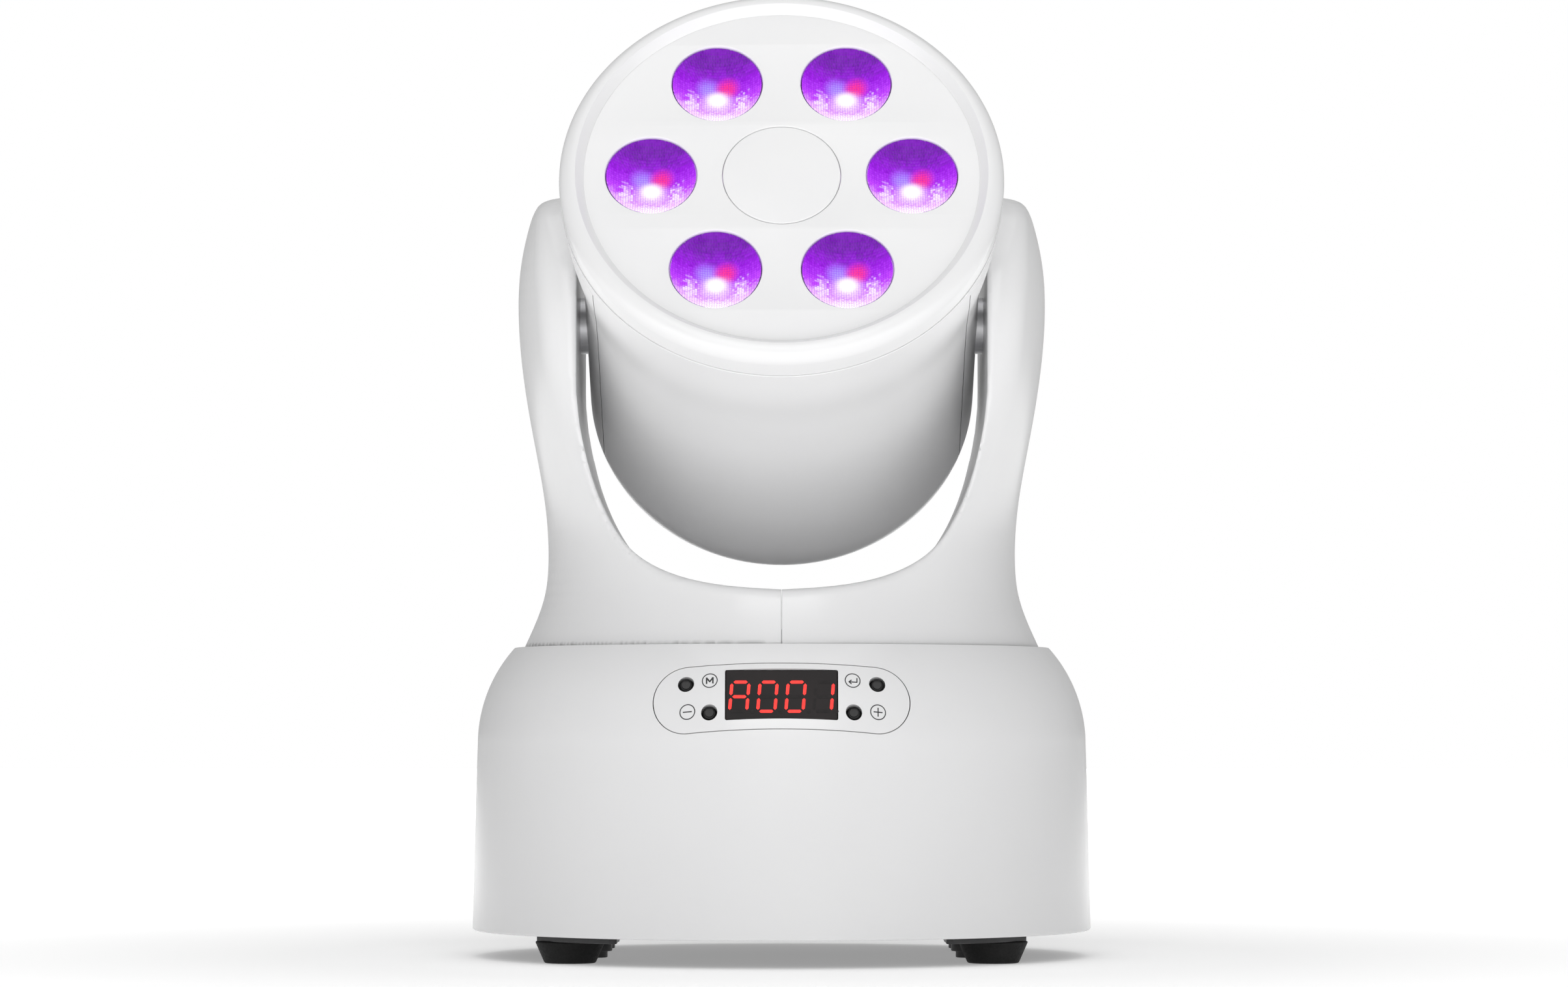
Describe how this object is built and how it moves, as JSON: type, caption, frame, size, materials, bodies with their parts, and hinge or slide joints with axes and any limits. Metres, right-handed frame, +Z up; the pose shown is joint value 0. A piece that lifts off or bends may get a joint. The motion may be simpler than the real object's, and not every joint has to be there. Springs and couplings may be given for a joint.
{
  "type": "moving head light",
  "caption": "Compact white moving head stage light: a round base with a display panel, a U-shaped yoke that pans, and a round multi-lens LED head that tilts in it.",
  "frame": {"origin": "on the floor under the pan axis, in the plane of the rubber feet", "axes": "+Z up along the pan axis, -Y towards the front, where the control panel is, +X to the right seen from the front"},
  "size_m": [0.175, 0.1832, 0.2681],
  "materials": {
    "white_shell": "glossy",
    "white_head": "glossy",
    "white_face": "semi gloss",
    "black_steel": "satin",
    "rubber": "matte",
    "steel": "brushed",
    "aluminium": "satin",
    "circuit_board": "satin",
    "black_plastic": "satin",
    "display_black": "glossy",
    "display_red": "lit",
    "brass": "satin",
    "belt_rubber": "matte",
    "lens": "clear, tinted by its LED",
    "led": "lit"
  },
  "bodies": {
    "base": {"base_shell": "white_shell", "control_panel": "white_shell", "base_plate": "black_steel", "foot_rails": "black_steel", "rubber_feet": "rubber", "base_screws": "steel", "bracket_sockets": "black_steel", "display_module": "display_black", "display_digits": "display_red", "control_board": "circuit_board", "tact_switches": "black_plastic", "rear_panel": "black_steel", "power_inlet": "black_plastic", "connector_pins": "brass", "fuse_holder": "black_plastic", "data_input": "black_plastic", "data_output": "black_plastic", "power_supply_board": "circuit_board", "main_board": "circuit_board", "top_chassis": "steel", "pan_bearing_outer": "steel", "pan_motor": "black_steel", "pan_belt": "belt_rubber"},
    "menu_button": {"button_menu": "black_plastic"},
    "down_button": {"button_down": "black_plastic"},
    "enter_button": {"button_enter": "black_plastic"},
    "up_button": {"button_up": "black_plastic"},
    "pan_drive": {"pan_drive_pulley": "aluminium"},
    "yoke": {"pan_shaft": "steel", "pan_bearing_inner": "steel", "pan_pulley": "aluminium", "yoke_shell_left": "white_shell", "yoke_shell_right": "white_shell", "yoke_base_plate": "steel", "yoke_screws": "steel", "tilt_motor": "black_steel", "tilt_belt": "belt_rubber", "tilt_bearing_left": "brass", "tilt_bearing_right": "brass"},
    "tilt_drive": {"tilt_drive_pulley": "aluminium"},
    "head": {"head_shell_upper": "white_head", "head_shell_lower": "white_head", "tail_grille": "black_plastic", "side_cover_left": "white_head", "side_cover_right": "white_head", "front_ring": "white_head", "face_plate": "white_face", "centre_cap": "white_face", "lenses": "lens", "led_emitters": "led", "led_board": "aluminium", "heat_sink": "aluminium", "fan_frame": "black_plastic", "driver_board": "circuit_board", "shaft_carrier": "steel", "tilt_shaft_left": "steel", "tilt_shaft_right": "steel", "tilt_pulley": "aluminium", "head_screws": "steel"},
    "fan": {"fan_rotor": "black_plastic"}
  },
  "joints": [
    {"name": "pan", "type": "hinge", "parent": "base", "child": "yoke", "pos_m": [0, 0, 0.087], "axis": [0, 0, 1], "range_deg": [-270, 270]},
    {"name": "pan_motor_turn", "type": "hinge", "parent": "base", "child": "pan_drive", "pos_m": [-0.046, 0, 0.072], "axis": [0, 0, 1], "range_deg": [-810, 810]},
    {"name": "tilt", "type": "hinge", "parent": "yoke", "child": "head", "pos_m": [0, 0, 0.179], "axis": [-1, 0, 0], "range_deg": [-28.8, 151.2]},
    {"name": "tilt_motor_turn", "type": "hinge", "parent": "yoke", "child": "tilt_drive", "pos_m": [0.062, 0, 0.1045], "axis": [-1, 0, 0], "range_deg": [-90.67, 476]},
    {"name": "fan_spin", "type": "hinge", "parent": "head", "child": "fan", "pos_m": [0, -0.01796, 0.18888], "axis": [0, -0.8763, 0.4818], "continuous": true},
    {"name": "menu_press", "type": "slide", "parent": "base", "child": "menu_button", "axis": [0, 0.9445, -0.3284], "range_m": [0, 0.0003], "stiffness_N_per_m": 1500, "springref_m": -0.0002},
    {"name": "down_press", "type": "slide", "parent": "base", "child": "down_button", "axis": [0, 0.9445, -0.3284], "range_m": [0, 0.0003], "stiffness_N_per_m": 1500, "springref_m": -0.0002},
    {"name": "enter_press", "type": "slide", "parent": "base", "child": "enter_button", "axis": [0, 0.9445, -0.3284], "range_m": [0, 0.0003], "stiffness_N_per_m": 1500, "springref_m": -0.0002},
    {"name": "up_press", "type": "slide", "parent": "base", "child": "up_button", "axis": [0, 0.9445, -0.3284], "range_m": [0, 0.0003], "stiffness_N_per_m": 1500, "springref_m": -0.0002}
  ],
  "couplings": [
    {"joint": "pan_motor_turn", "follows": "pan", "ratio": 3},
    {"joint": "tilt_motor_turn", "follows": "tilt", "ratio": 3.1481}
  ]
}
